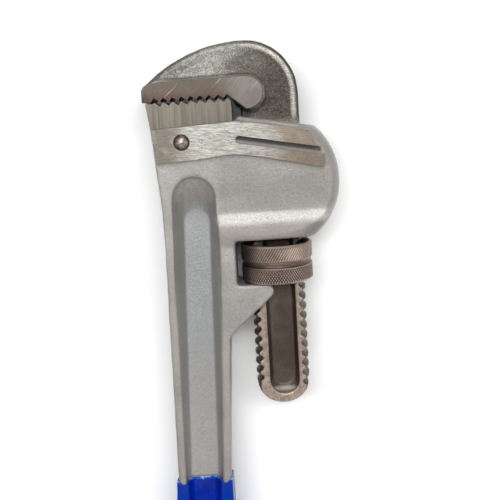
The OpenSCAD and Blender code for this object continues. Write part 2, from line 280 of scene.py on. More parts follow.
def surface(name, points, faces):
    """An object made from points in metres, with its normals pointing outwards."""
    mesh = bpy.data.meshes.new(name)
    mesh.from_pydata(points.tolist(), [], faces)
    bm = bmesh.new()
    bm.from_mesh(mesh)
    bmesh.ops.recalc_face_normals(bm, faces=bm.faces)
    bm.to_mesh(mesh)
    bm.free()
    return new_object(name, mesh)


# ---------- material helpers ----------


def linear(red, green, blue):
    """A linear colour from 0 to 255 values."""
    return tuple(
        c / 12.92 if c <= 0.04045 else ((c + 0.055) / 1.055) ** 2.4
        for c in (red / 255, green / 255, blue / 255)
    ) + (1.0,)


class Paint:
    """Builds one material's nodes. Positions are in millimetres from the middle of the nut."""

    def __init__(self, name):
        self.material = bpy.data.materials.new(name)
        self.material.use_nodes = True
        self.tree = self.material.node_tree
        self.shader = self.tree.nodes["Principled BSDF"]
        place = self.node("ShaderNodeTexCoord").outputs["Object"]
        moved = self.vector("SUBTRACT", place, tuple(NUT))
        self.place = self.vector("SCALE", moved, scale=1 / MM)
        split = self.node("ShaderNodeSeparateXYZ", Vector=self.place)
        self.x, self.y = split.outputs["X"], split.outputs["Y"]
        self.height = self.math("ABSOLUTE", split.outputs["Z"])

    def node(self, kind, **inputs):
        made = self.tree.nodes.new(kind)
        for name, value in inputs.items():
            self.feed(made.inputs[name.replace("_", " ")], value)
        return made

    def attribute(self, name):
        """A value stored on the mesh."""
        made = self.node("ShaderNodeAttribute")
        made.attribute_name = name
        return made.outputs["Fac"]

    def feed(self, socket, value):
        if isinstance(value, bpy.types.NodeSocket):
            self.tree.links.new(value, socket)
        else:
            socket.default_value = value

    def math(self, operation, a, b=0.0):
        made = self.tree.nodes.new("ShaderNodeMath")
        made.operation = operation
        self.feed(made.inputs[0], a)
        self.feed(made.inputs[1], b)
        return made.outputs[0]

    def plus(self, a, b, share=1.0):
        """a, with a share of b added to it."""
        return self.math("ADD", a, self.math("MULTIPLY", b, share))

    def times(self, *values):
        found = values[0]
        for value in values[1:]:
            found = self.math("MULTIPLY", found, value)
        return found

    def vector(self, operation, a, b=(0, 0, 0), scale=1.0):
        made = self.tree.nodes.new("ShaderNodeVectorMath")
        made.operation = operation
        self.feed(made.inputs[0], a)
        if operation == "SCALE":
            self.feed(made.inputs["Scale"], scale)
        else:
            self.feed(made.inputs[1], b)
        return made.outputs[0]

    def ramp(self, value, low, high, start=0.0, end=1.0):
        """start below low, end above high, and smooth between them."""
        made = self.tree.nodes.new("ShaderNodeMapRange")
        made.interpolation_type = "SMOOTHSTEP"
        for socket, given in zip(made.inputs, (value, low, high, start, end)):
            self.feed(socket, given)
        return made.outputs[0]

    def band(self, value, low, high, soft):
        """1 between low and high, with soft edges."""
        above = self.ramp(value, low - soft, low + soft)
        return self.times(above, self.ramp(value, high - soft, high + soft, 1.0, 0.0))

    def noise(self, size, detail=3.0, rough=0.55, stretch=(1, 1, 1), turn=0.0, warp=0.0):
        """Noise of blobs about size millimetres across, drawn out by stretch, turned about Z."""
        place = self.place
        if turn:
            made = self.node("ShaderNodeVectorRotate", Vector=place, Angle=math.radians(turn))
            place = made.outputs[0]
        place = self.vector("MULTIPLY", place, tuple(1 / s for s in stretch))
        found = self.node(
            "ShaderNodeTexNoise", Vector=place, Scale=1 / size, Detail=detail,
            Roughness=rough, Distortion=warp,
        )
        return found.outputs[0]

    def spots(self, spacing, radius, soft=0.3):
        """Round specks at random places: 1 inside a speck, 0 outside."""
        found = self.node("ShaderNodeTexVoronoi", Vector=self.place, Scale=1 / spacing)
        return self.ramp(found.outputs["Distance"], radius * (1 - soft), radius, 1.0, 0.0)

    def mix(self, share, a, b):
        """The colour a, turning to b as share goes to 1."""
        made = self.tree.nodes.new("ShaderNodeMix")
        made.data_type = "RGBA"
        self.feed(made.inputs[0], share)
        self.feed(made.inputs[6], a)
        self.feed(made.inputs[7], b)
        return made.outputs[2]

    def tones(self, value, low, high, first, second):
        """A colour that is first where the value is below low and second where it is above high."""
        return self.mix(self.ramp(value, low, high), linear(*first), linear(*second))

    def stain(self, colour, over, *shares):
        """The colour with another over it, as strong as the product of the shares."""
        return self.mix(self.times(*shares), colour, linear(*over))

    def tint(self, colour, value, amount):
        """The colour made lighter and darker by amount as value runs from 0 to 1."""
        gain = self.ramp(value, 0.25, 0.75, 1 - amount, 1 + amount)
        grey = self.node("ShaderNodeCombineXYZ", X=gain, Y=gain, Z=gain).outputs[0]
        if isinstance(colour, tuple):
            colour = colour[:3]
        return self.vector("MULTIPLY", colour, grey)

    def bump(self, heights):
        """Fine relief from a list of (value, depth in millimetres)."""
        total = 0.0
        for value, depth in heights:
            total = self.plus(total, value, depth * MM)
        made = self.node("ShaderNodeBump", Strength=1.0, Distance=1.0, Height=total)
        self.feed(self.shader.inputs["Normal"], made.outputs[0])

    def finish(self, colour, roughness, metallic, **others):
        """The finished material. Others are more inputs of the shader, with _ for each space."""
        inputs = {"Base_Color": colour, "Roughness": roughness, "Metallic": metallic, **others}
        for name, value in inputs.items():
            self.feed(self.shader.inputs[name.replace("_", " ")], value)
        return self.material


# ---------- materials ----------


def cast_paint():
    """Silver-grey paint over a fine sand-cast skin, cooler in the recess and browned at its end."""
    p = Paint("cast_paint")
    grain = p.noise(0.8, 4, 0.7)
    cloud = p.noise(22, 3, 0.5)
    handle = p.ramp(p.x, -40, -30, 1.0, 0.0)
    floor = p.times(p.ramp(p.height, 6, 12, 1.0, 0.0), handle)
    colour = p.tones(cloud, 0.35, 0.7, (162, 159, 155), (150, 147, 143))
    floor_tone = p.tones(p.y, -130, -20, (158, 154, 152), (146, 149, 149))
    colour = p.mix(p.times(floor, 0.85), colour, floor_tone)
    on_face = p.times(p.ramp(p.height, 11, 13), p.band(p.x, -35, 32, 4))
    # The upper face of the head is painted darker above the rim: painted shade.
    dull_and_painted_shade = p.times(p.ramp(p.height, 11, 13), p.ramp(p.x, -38, -30), p.ramp(p.y, 31, 37))
    colour = p.stain(colour, (134, 131, 126), dull_and_painted_shade, 0.6)
    # A bright band along the rim of the head: a painted highlight.
    wear_and_painted_highlight = p.times(on_face, p.band(p.y, 26, 32, 1.5), p.ramp(grain, 0.3, 0.6, 0.3, 0.9))
    colour = p.stain(colour, (222, 221, 218), wear_and_painted_highlight, 0.55)
    # Below the rim the paint is darker: painted shade.
    dust_and_painted_shade = p.times(on_face, p.band(p.y, 12, 24.5, 1.5))
    colour = p.stain(colour, (130, 125, 120), dust_and_painted_shade, 0.75)
    apex = p.times(p.ramp(p.y, 26, 40), p.ramp(p.height, 12, 15.5, 1.0, 0.0), handle)
    streaks = p.noise(2.5, 3, 0.6, stretch=(1, 5, 1))
    colour = p.stain(colour, (132, 121, 114), apex, p.ramp(streaks, 0.35, 0.65, 0.1, 0.6))
    # The walls of the recess are painted darker: painted shade.
    walls = p.times(p.band(p.height, 7, 12, 2), handle)
    colour = p.stain(colour, (126, 119, 113), walls, 0.25)
    across = p.plus(p.y, p.x, BAND_FALL)
    # The slot between the bands is painted darker and made rougher: painted shade. Its upper part
    # gets a painted shadow.
    slot = p.times(p.band(across, 69.6, 75, 0.4), p.band(p.x, -21, 29, 1))
    slot = p.times(slot, p.ramp(p.height, 16.4, 17.0, 1.0, 0.0))
    colour = p.stain(colour, (128, 124, 116), slot, p.ramp(grain, 0.3, 0.7, 0.25, 0.6))
    shadow = p.times(slot, p.ramp(across, 71.2, 73.0))
    colour = p.stain(colour, (50, 44, 38), shadow, 0.9)
    # The channel inside the head is painted near black: grease, and painted shade.
    channel = p.times(p.ramp(p.height, 11.8, 12.3, 1.0, 0.0), p.band(p.x, -31, 20, 1))
    colour = p.stain(colour, (34, 31, 30), channel, p.ramp(p.y, 40, 62), 0.9)
    colour = p.tint(colour, grain, 0.14)
    colour = p.tint(colour, p.noise(1.4, 2, 0.6), 0.07)
    grime = p.times(p.ramp(p.noise(5, 4, 0.7), 0.58, 0.72), p.ramp(cloud, 0.45, 0.6))
    colour = p.stain(colour, (116, 104, 92), grime, 0.35)
    dirt = p.times(p.spots(6, 0.08), p.ramp(p.noise(12, 1), 0.5, 0.6))
    colour = p.stain(colour, (72, 62, 54), dirt, 0.7)
    chips = p.times(p.spots(3.1, 0.06), p.ramp(p.noise(9, 1), 0.55, 0.65))
    colour = p.stain(colour, (216, 213, 208), chips, 0.5)
    p.bump([(grain, 0.28), (p.noise(1.9, 3, 0.65), 0.3), (chips, 0.05)])
    rough = p.plus(p.ramp(grain, 0.3, 0.7, 0.32, 0.48), slot, 0.25)
    return p.finish(colour, rough, 0.4)


def ground_band():
    """Ground metal: short marks along the band, pits, and a browner, darker colour towards its
    ends.
    """
    p = Paint("ground_band")
    marks = p.noise(0.9, 4, 0.7, stretch=(6, 0.55, 1), turn=4)
    fine = p.noise(0.5, 3, 0.6, stretch=(6, 0.6, 1), turn=4)
    patch = p.noise(9, 3, 0.6, warp=0.6)
    colour = p.tones(marks, 0.3, 0.7, (124, 120, 112), (190, 190, 183))
    left = p.ramp(p.plus(p.x, patch, 14), -56, -36, 1.0, 0.0)
    right = p.ramp(p.plus(p.x, patch, 22), 2, 24)
    colour = p.stain(colour, (98, 88, 79), left, 0.85)
    colour = p.stain(colour, (118, 104, 92), right, 0.85)
    yellow = p.ramp(p.noise(6, 2, 0.5), 0.52, 0.66)
    colour = p.stain(colour, (162, 155, 130), yellow, 0.25)
    colour = p.tint(colour, fine, 0.2)
    dull_and_painted_shade = p.ramp(p.noise(3.2, 4, 0.75, stretch=(1.8, 0.8, 1)), 0.54, 0.68)
    colour = p.stain(colour, (112, 102, 90), dull_and_painted_shade, 0.35)
    rust = p.times(p.ramp(p.noise(4.5, 3, 0.6), 0.56, 0.66), right)
    colour = p.stain(colour, (128, 98, 74), rust, 0.5)
    pits = p.times(p.spots(2.0, 0.22, 0.6), p.ramp(p.noise(8, 2), 0.46, 0.54))
    colour = p.stain(colour, (66, 58, 50), pits, 0.85)
    p.bump([(marks, 0.06), (fine, 0.05), (pits, -0.12)])
    rough = p.ramp(marks, 0.3, 0.7, 0.44, 0.3)
    return p.finish(colour, rough, 0.75, Anisotropic=0.3)


def heel_steel():
    """Ground tool steel with marks that run from the teeth to the seat."""
    p = Paint("heel_steel")
    broad = p.noise(2.2, 3, 0.6, stretch=(1, 30, 6))
    fine = p.noise(0.45, 3, 0.7, stretch=(1, 40, 6))
    colour = p.tones(broad, 0.3, 0.7, (94, 89, 81), (115, 109, 100))
    colour = p.tint(colour, fine, 0.14)
    brown = p.times(p.ramp(p.noise(7, 3, 0.6), 0.5, 0.7), 0.3)
    colour = p.stain(colour, (112, 94, 78), brown)
    pits = p.times(p.spots(3.4, 0.09), p.ramp(p.noise(6, 1), 0.55, 0.62))
    colour = p.stain(colour, (54, 47, 41), pits, 0.7)
    tips = p.times(p.ramp(p.y, 99.2, 101), 0.45)
    colour = p.stain(colour, (74, 60, 50), tips)
    # The heel jaw's side towards the shank is painted near black: painted shade in the gap beside
    # the shank.
    inner = p.ramp(p.x, HEEL_RIGHT - 0.5, HEEL_RIGHT - 0.15)
    colour = p.stain(colour, (36, 34, 34), inner, 0.9)
    p.bump([(broad, 0.02), (fine, 0.02)])
    return p.finish(colour, p.ramp(fine, 0.3, 0.7, 0.5, 0.38), 0.65)


def forged_steel():
    """Tumbled forging: speckled grey at the jaw, browner and darker towards the shank."""
    p = Paint("forged_steel")
    speck = p.noise(0.75, 4, 0.8)
    coarse = p.noise(3.2, 4, 0.7)
    cloud = p.noise(17, 3, 0.5, warp=0.4)
    tilt, rounded, inset = p.attribute("tilt"), p.attribute("near_edge"), p.attribute("inset")
    slanting = p.plus(p.x, p.y, -0.55)
    turned = p.ramp(p.plus(slanting, cloud, 40), -88, -46)
    colour = p.mix(turned, linear(128, 128, 121), linear(62, 56, 49))
    colour = p.stain(colour, (78, 76, 69), p.ramp(coarse, 0.42, 0.62), 0.4)
    light = p.times(p.ramp(speck, 0.5, 0.66), p.ramp(turned, 0, 1, 0.7, 0.25))
    colour = p.stain(colour, (180, 179, 169), light)
    dark = p.times(p.ramp(speck, 0.36, 0.48, 1.0, 0.0), 0.6)
    colour = p.stain(colour, (52, 48, 42), dark)
    left = p.times(p.ramp(p.x, -60, -30, 1.0, 0.0), p.ramp(speck, 0.35, 0.6, 0.75, 0.4))
    colour = p.stain(colour, (66, 64, 58), left)
    on_jaw = p.ramp(p.y, 84, 90)
    # Right of the pad the jaw is painted dark: painted shade.
    side = p.times(p.ramp(p.x, -14, 2), p.ramp(p.y, 112, 128, 1.0, 0.0), on_jaw)
    colour = p.stain(colour, (40, 36, 31), side, p.ramp(speck, 0.4, 0.6, 0.6, 0.35))
    # A bright ring inside the jaw's rounded edge: a painted highlight.
    ring = p.times(p.band(inset, 1.9, 4.4, 1.2), on_jaw, p.ramp(p.x, -20, 0))
    colour = p.stain(colour, (196, 192, 182), ring, p.ramp(speck, 0.35, 0.62, 0.15, 0.8))
    # Under the pad, beside the heel jaw, the forging is painted near black: a painted shadow.
    painted_shadow_under_pad = p.times(p.band(p.x, -30, -11, 2.5), p.ramp(p.y, 97, 104, 1.0, 0.0), on_jaw)
    colour = p.stain(colour, (24, 21, 19), painted_shadow_under_pad, 0.85)
    # The steep rounded sides of the jaw are painted darker: painted shade.
    painted_shade_outline = p.times(p.ramp(tilt, 0.45, 0.8, 1.0, 0.0), on_jaw, rounded)
    colour = p.stain(colour, (58, 52, 46), painted_shade_outline, 0.8)
    # The step up to the pad is painted bright: a painted highlight.
    step = p.times(p.ramp(p.height, 9.8, 10.6), on_jaw, p.ramp(speck, 0.35, 0.6, 0.3, 0.8))
    step = p.times(step, p.ramp(p.x, -70, -66))
    colour = p.stain(colour, (190, 186, 176), step)
    on_shank = p.ramp(p.y, 78, 88, 1.0, 0.0)
    rails = p.times(on_shank, p.ramp(p.height, 8.6, 9.05))
    wear_and_painted_highlight = p.tones(coarse, 0.35, 0.65, (182, 165, 151), (148, 132, 119))
    scuffs = p.ramp(p.noise(1.8, 4, 0.7, stretch=(1, 3, 1)), 0.58, 0.68)
    wear_and_painted_highlight = p.stain(wear_and_painted_highlight, (84, 64, 54), scuffs, 0.5)
    colour = p.mix(p.times(rails, 0.9), colour, p.tint(wear_and_painted_highlight, speck, 0.12))
    low = p.times(on_shank, p.ramp(p.height, 8.4, 9.0, 1.0, 0.0))
    floor = p.tones(cloud, 0.35, 0.65, (94, 83, 74), (76, 64, 56))
    colour = p.mix(p.times(low, 0.9), colour, p.tint(floor, speck, 0.25))
    # A bright crescent near the end of the pocket: a painted highlight.
    from_end = p.math("SUBTRACT", p.y, SHANK_END)
    painted_highlight_pocket_end = p.times(p.band(from_end, 7.8, 10.2, 1.0), p.band(p.height, 5.8, 8.3, 0.6))
    colour = p.stain(colour, (200, 190, 178), painted_highlight_pocket_end, 0.4)
    # The part of the shank inside the head is painted near black: grease, and painted shade.
    grease_and_painted_shade = p.times(p.band(p.y, 6, 40, 3), 0.85)
    colour = p.stain(colour, (30, 25, 22), grease_and_painted_shade)
    p.bump([(speck, 0.16), (coarse, 0.16)])
    rough = p.ramp(speck, 0.3, 0.7, 0.46, 0.32)
    return p.finish(colour, rough, 0.7)


def ground_pad():
    """Smooth ground flat of the hook jaw, with slanting scratches and heat stains by the teeth."""
    p = Paint("ground_pad")
    marks = p.noise(0.8, 3, 0.65, stretch=(12, 0.7, 3), turn=-55)
    fine = p.noise(0.35, 2, 0.6, stretch=(9, 0.7, 3), turn=-50)
    cloud = p.noise(9, 3, 0.5)
    lobe = p.ramp(p.x, -34, -14)
    colour = p.mix(lobe, linear(80, 72, 64), linear(106, 101, 96))
    colour = p.stain(colour, (88, 78, 69), p.ramp(cloud, 0.4, 0.65), 0.4)
    colour = p.tint(colour, marks, 0.12)
    colour = p.tint(colour, fine, 0.08)
    scratches = p.ramp(p.noise(2.4, 2, 0.6, stretch=(16, 0.28, 3), turn=-42), 0.69, 0.74)
    colour = p.stain(colour, (210, 202, 192), scratches, 0.4)
    edge = p.plus(p.y, p.noise(3, 2, 0.5), 4)
    burn = p.times(p.ramp(edge, 103, 109.5, 1.0, 0.0), p.ramp(p.x, -30, -19, 1.0, 0.0))
    colour = p.stain(colour, (72, 48, 37), burn, 0.75)
    nose = p.times(p.ramp(p.x, -74, -69, 1.0, 0.0), p.ramp(p.y, 103, 107, 1.0, 0.0))
    colour = p.stain(colour, (58, 50, 43), nose, 0.8)
    pits = p.times(p.spots(3.0, 0.16, 0.5), p.ramp(p.x, -64, -56, 1.0, 0.0))
    colour = p.stain(colour, (62, 56, 48), pits, 0.8)
    below = p.ramp(p.height, JAW_HALF - 0.3, JAW_HALF - 0.05, 1.0, 0.0)
    # A bright line along the upper edge of the pad: a painted highlight.
    rim = p.times(below, p.ramp(p.y, 104, 106), p.ramp(p.x, -64, -58))
    colour = p.stain(colour, (206, 200, 190), rim, 0.8)
    front = p.times(below, p.ramp(p.x, -64, -58, 1.0, 0.0))
    colour = p.stain(colour, (72, 69, 62), front, 0.9)
    p.bump([(marks, 0.02), (fine, 0.01), (pits, -0.10)])
    return p.finish(colour, p.ramp(marks, 0.3, 0.7, 0.46, 0.34), 0.65)


def nut_steel():
    """Oxidised brown steel, bright on its rims and knurl, and painted near black on its left side
    as shade.
    """
    p = Paint("nut_steel")
    wear_and_painted_highlight = p.attribute("crest")
    cloud = p.noise(6, 3, 0.6)
    colour = p.tones(wear_and_painted_highlight, 0.3, 0.86, (18, 14, 12), (162, 143, 131))
    colour = p.stain(colour, (96, 68, 60), p.ramp(cloud, 0.45, 0.7), 0.35)
    # The rims are bright: wear, and a painted highlight.
    rim = p.ramp(wear_and_painted_highlight, 0.97, 1.0)
    colour = p.stain(colour, (196, 184, 172), rim, p.ramp(cloud, 0.3, 0.6, 0.5, 0.9))
    grain = p.noise(0.6, 3, 0.7)
    colour = p.tint(colour, grain, 0.14)
    # The left side of the nut, near the wall of the window, is painted near black: painted shade.
    painted_shade_left = p.ramp(p.x, -21, -8, 1.0, 0.0)
    colour = p.stain(colour, (24, 20, 19), painted_shade_left, 0.8)
    p.bump([(grain, 0.05)])
    return p.finish(colour, p.ramp(grain, 0.3, 0.7, 0.46, 0.34), 0.75)


def pin_steel():
    """Riveted steel head: polished on top, with a painted contact shadow where it meets the band.
    """
    p = Paint("pin_steel")
    cloud = p.noise(2.4, 3, 0.6)
    colour = p.tones(cloud, 0.4, 0.65, (150, 142, 134), (104, 90, 80))
    # A dark ring where the head meets the band: a painted contact shadow.
    foot = p.ramp(p.height, HEAD_HALF + 0.3, HEAD_HALF + 1.9, 1.0, 0.0)
    colour = p.stain(colour, (46, 32, 25), foot, 0.85)
    p.bump([(p.noise(1.0, 3, 0.6), 0.08)])
    return p.finish(colour, p.ramp(cloud, 0.4, 0.6, 0.34, 0.46), 0.75)


def spring_steel():
    """Oiled spring steel with faint drawing marks."""
    p = Paint("spring_steel")
    grain = p.noise(0.7, 3, 0.6, stretch=(1, 4, 1))
    colour = p.tint(linear(104, 96, 90), grain, 0.2)
    p.bump([(grain, 0.02)])
    return p.finish(colour, p.ramp(grain, 0.3, 0.7, 0.42, 0.28), 0.9)


def dipped_grip():
    """Glossy blue vinyl, with a painted reflection along its rails and a painted highlight and
    glints along its dipped edge.
    """
    p = Paint("dipped_grip")
    lip = p.attribute("lip")
    cloud = p.noise(16, 2, 0.5)
    colour = p.tones(cloud, 0.35, 0.7, (0, 36, 150), (0, 29, 128))
    # The rails are painted lighter: a painted reflection.
    rails = p.ramp(p.height, 9, 14)
    colour = p.stain(colour, (10, 60, 152), rails, 0.7)
    # The dipped edge is painted lighter, with pale glints: painted highlights.
    colour = p.stain(colour, (20, 100, 200), lip, 0.75)
    painted_glints = p.times(p.ramp(lip, 0.75, 1.0), p.ramp(p.noise(3.5, 2, 0.5), 0.42, 0.55))
    colour = p.stain(colour, (190, 215, 240), painted_glints, 0.6)
    dust_and_painted_shade = p.times(p.spots(2.6, 0.05), p.ramp(p.noise(10, 1), 0.5, 0.6))
    colour = p.stain(colour, (120, 140, 210), dust_and_painted_shade, 0.2)
    p.bump([(p.noise(8, 2, 0.5), 0.06), (p.noise(1.2, 2, 0.5), 0.01)])
    rough = p.ramp(p.noise(6, 2, 0.5), 0.35, 0.65, 0.18, 0.28)
    return p.finish(colour, rough, 0.0, Specular_IOR_Level=0.12)


def wear(obj, material, body, slot, *replaced):
    """Gives a piece its material and body, and hides the CAD nodes it stands for. The slot is not
    used.
    """
    obj.data.materials.clear()
    obj.data.materials.append(material)
    if replaced:
        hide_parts(*replaced)
    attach(obj, body)


# ---------- pieces ----------


def make_casting():
    """The handle and head: an even skin whose edges are rounded as sand casting leaves them.

    The skin lies a little below the ground bands, which are pieces of their own.
    """
    obj = mesh_from("casting", welded("handle_body"))
    remesh(obj, SKIN_VOXEL)
    mesh = obj.data
    points = local(points_of(mesh))
    x, y, z = points.T
    under_band = (np.abs(z) > HEAD_HALF - 0.5) & (y > BAND_FOOT)
    points[under_band, 2] = np.sign(z[under_band]) * (HEAD_HALF - 0.35)
    strip = (x < -57) & (y > -16) & (y < 29) & (np.abs(z) > STRIP_HALF)
    proud = np.abs(z[strip]) - STRIP_HALF
    points[strip, 2] = np.sign(z[strip]) * (STRIP_HALF + 0.1 * proud)
    set_points(mesh, points * MM + np.array(NUT))
    seat = smoothstep(82, 85, y) * smoothstep(-24, -27, x)
    recess = smoothstep(9.5, 7, np.abs(z)) * smoothstep(-33, -36, x)
    band = smoothstep(54, 57, y) * smoothstep(15.6, 16.4, np.abs(z))
    relax(mesh, 18, 1 - 0.75 * np.maximum(np.maximum(seat, recess), 0.8 * band))
    points = points_of(mesh)
    x, y, z = local(points).T
    dip = smoothstep(26.5, 33.5, y) * smoothstep(55, 38, y) * smoothstep(-37, -31, x)
    dip *= smoothstep(12, 14.5, np.abs(z)) * smoothstep(37, 28, x)
    dip_depth = 1.15
    points[:, 2] -= np.sign(z) * dip_depth * MM * dip
    set_points(mesh, points)
    roughen(mesh, [(11, 0.2), (3.5, 0.06)], 1 - seat)
    thin_out(obj, 0.5)
    shade(obj, 60)
    return obj


def make_bands():
    """The ground bands on both faces of the head, with crisp edges."""
    depth = 2.4
    top = face_block("ground_band_top", "handle_body", HEAD_HALF, BAND_FOOT, depth)
    bottom = face_block("ground_band_bottom", "handle_body", -HEAD_HALF, BAND_FOOT, -depth)
    for obj in (top, bottom):
        bevel(obj, 0.22)
        shade(obj, 12)
    return top, bottom


def make_heel():
    """The heel jaw with its edges broken."""
    bm = welded("heel_jaw")
    bmesh.ops.dissolve_limit(bm, angle_limit=math.radians(1), verts=bm.verts, edges=bm.edges)
    obj = mesh_from("heel_jaw_block", bm)
    bevel(obj, 0.18)
    shade(obj, 12)
    return obj


def make_forging():
    """The hook jaw and its shank: heavily rounded at the jaw, crisp at the thread.

    Its teeth and ground faces are pushed in a little, because make_pad makes them.
    """
    top_x, top_y = -14, 133.5
    long_r, side = 88, 17.6
    short_r = side - top_x
    obj = mesh_from("hook_forging", welded("hook_jaw"))
    remesh(obj, FORGING_VOXEL)
    mesh = obj.data
    points = local(points_of(mesh))
    x, y, z = points.T
    sunk_half = 12.2
    pad = np.abs(z) > 10.2
    points[pad, 2] = np.sign(z[pad]) * sunk_half
    teeth = (y > 98) & (y < 104.5) & (x < -23)
    points[teeth, 1] += 0.7
    set_points(mesh, points * MM + np.array(NUT))
    jaw = smoothstep(86, 98, y)
    low_side = smoothstep(110, 104, y) * smoothstep(-12, -20, x)
    relax(mesh, 60, jaw * (1 - 0.75 * low_side))
    relax(mesh, 2, np.ones(len(x)))
    points = points_of(mesh)
    x, y, z = local(points).T
    from_long = long_r - np.hypot(x - top_x, y - top_y + long_r)
    from_short = short_r - np.hypot(x - top_x, y - top_y + short_r)
    from_side = np.where(y > top_y - short_r, from_short, side - x)
    inset = np.where(x < top_x, from_long, from_side)
    dish = smoothstep(2.5, 8, inset) * smoothstep(84, 92, y)
    dish *= smoothstep(7, 9, np.abs(z)) * smoothstep(11.6, 10.6, np.abs(z))
    dish_depth = 0.3
    points[:, 2] -= np.sign(z) * dish_depth * MM * dish
    set_points(mesh, points)
    store(mesh, "near_edge", smoothstep(6, 3.5, inset) * smoothstep(80, 86, y))
    store(mesh, "inset", inset)
    roughen(mesh, [(9, 0.22), (2.6, 0.10)], 0.3 + 0.7 * jaw)
    mark_tilt(obj)
    shade(obj, 60)
    return obj


def make_pad():
    """The toothed block of the hook jaw with its ground sides."""
    obj = face_block("hook_pad", "hook_jaw", JAW_HALF, JAW_FOOT, 2 * JAW_HALF)
    bevel(obj, 0.16)
    shade(obj, 12)
    return obj


def ridges(turn, height, lean):
    """How far up a slanting ridge each turn and height is: 0 in a groove and 1 on a flat crest."""
    count, steepness = 84, 1.9
    place = count * turn / (2 * math.pi) + lean * height
    return np.clip((1 - np.abs(2 * (place % 1) - 1)) * steepness, 0, 1)


def knurl(turn, height, low, high, lean, crossed):
    """The relief of a knurled band from low to high: 0 in a groove, 1 on a crest or at an end."""
    crest = ridges(turn, height, lean)
    if crossed:
        crest = np.minimum(crest, ridges(turn, height, -lean))
    run = 0.5
    ends = smoothstep(low, low + run, height) * smoothstep(high, high - run, height)
    return 1 - ends * (1 - crest)


def make_nut():
    """The adjusting nut: two knurled bands, a groove, countersunk ends and its inner thread."""
    size = extent_of("adjusting_nut") / MM
    outer, half = size.x / 2, size.y / 2
    depth, groove, edge, sink = 0.6, 0.9, 0.9, 3.4
    bore, ring, rib = 17.4, 17.2, 1.65
    crossed_low, crossed_high = -half + edge, -2.1
    groove_low, groove_high = -1.6, 2.0
    plain_low, plain_high = 2.5, half - edge
    steps = 756
    turn = np.linspace(0, 2 * math.pi, steps, endpoint=False)
    rows = []

    def add(radius, height, crest):
        rows.append((radius + np.zeros(steps), height, crest + np.zeros(steps)))

    def add_knurl(low, high, count, lean, crossed):
        for y in np.linspace(low, high, count):
            crest = knurl(turn, y, low, high, lean, crossed)
            add(outer - depth * (1 - crest), y, 0.92 * crest)

    add(outer - 1.9, -half, 0.9)
    add(outer - 1.5, -half, 1.0)
    add(outer - edge, -half, 1.0)
    add(outer - 0.15, crossed_low - 0.1, 1.0)
    add_knurl(crossed_low, crossed_high, 20, 0.40, True)
    add(outer - 0.1, crossed_high + 0.1, 1.0)
    for y in np.linspace(groove_low, groove_high, 7):
        across = (2 * y - groove_low - groove_high) / (groove_high - groove_low)
        add(outer - groove * (1 - 0.6 * across**4), y, 0.54 + 0.14 * across)
    add(outer - 0.1, plain_low - 0.1, 1.0)
    add_knurl(plain_low, plain_high, 18, -0.40, False)
    add(outer - 0.15, plain_high + 0.1, 1.0)
    add(outer - edge, half, 1.0)
    add(outer - 1.5, half, 1.0)
    add(outer - 1.9, half, 0.9)
    # The countersinks and the bore get low crest values, which paint them dark: grease, and painted
    # shade inside the nut.
    add((outer + bore) / 2 - 1, half - sink / 2, 0.0)
    for y in np.linspace(half - sink, -half + sink, 36):
        offset = (y / PITCH - turn / (2 * math.pi)) % 1 - 0.5
        away = np.abs(offset) * PITCH
        radius = np.where(away < rib, ring - np.sqrt(np.maximum(rib**2 - away**2, 0)), bore)
        add(np.minimum(radius, bore), y, 0.0)
    add((outer + bore) / 2 - 1, -half + sink / 2, 0.35)
    circle = np.stack([np.sin(turn), 0 * turn, np.cos(turn)], axis=1)
    points = np.concatenate([r[:, None] * circle + (0, y, 0) for r, y, _ in rows])
    faces = grid_faces(len(rows), steps, closed=True)
    obj = surface("knurled_nut", points * MM + np.array(NUT), faces)
    store(obj.data, "crest", np.concatenate([crest for _, _, crest in rows]))
    shade(obj, 50)
    return obj


def make_pin():
    """The heel jaw's pin with a hammered dome on each side."""
    size, middle = extent_of("heel_jaw_pin") / MM, centre_of("heel_jaw_pin")
    head, tip, shaft, foot = size.x / 2, size.z / 2, 3.6, HEAD_HALF
    rise = tip - foot
    dome = (head * head + rise * rise) / (2 * rise)
    half = [(shaft, 0.0), (shaft, foot - 0.1), (head - 0.5, foot), (head - 0.1, foot + 0.2)]
    for radius in np.linspace(head - 0.25, 0.05, 12):
        half.append((radius, tip - dome + math.sqrt(dome * dome - radius * radius)))
    profile = [(r, -h) for r, h in half[:0:-1]] + half
    steps = 48
    turn = np.linspace(0, 2 * math.pi, steps, endpoint=False)
    circle = np.stack([np.cos(turn), np.sin(turn), 0 * turn], axis=1)
    points = np.concatenate([r * circle + (0, 0, h) for r, h in profile])
    faces = capped_faces(len(profile), steps)
    obj = surface("pin_with_heads", points * MM + np.array(middle), faces)
    beaten = np.abs(local(points_of(obj.data))[:, 2]) > foot + 0.4
    roughen(obj.data, [(2.2, 0.22)], beaten.astype(float))
    shade(obj, 50)
    return obj


def make_coil():
    """The round-wire coil between its pocket and the flat spring."""
    size, middle = extent_of("coil_spring") / MM, centre_of("coil_spring")
    wire_r, turns, steps, sides = 0.75, 6, 28, 12
    coil_r, reach = size.y / 2 - wire_r, size.x / 2 - wire_r
    share = np.linspace(0, 1, turns * steps + 1)
    turn = share * turns * 2 * math.pi
    out = np.stack([0 * turn, np.cos(turn), np.sin(turn)], axis=1)
    path = coil_r * out
    path[:, 0] = reach * (2 * share - 1)
    ahead = np.gradient(path, axis=0)
    ahead /= np.linalg.norm(ahead, axis=1)[:, None]
    side = np.cross(ahead, out)
    angles = np.linspace(0, 2 * math.pi, sides, endpoint=False)
    rings = [path + wire_r * (math.cos(a) * out + math.sin(a) * side) for a in angles]
    points = np.stack(rings, axis=1).reshape(-1, 3) * MM + np.array(middle)
    obj = surface("coil_wire", points, capped_faces(len(path), sides))
    shade(obj, 60)
    return obj


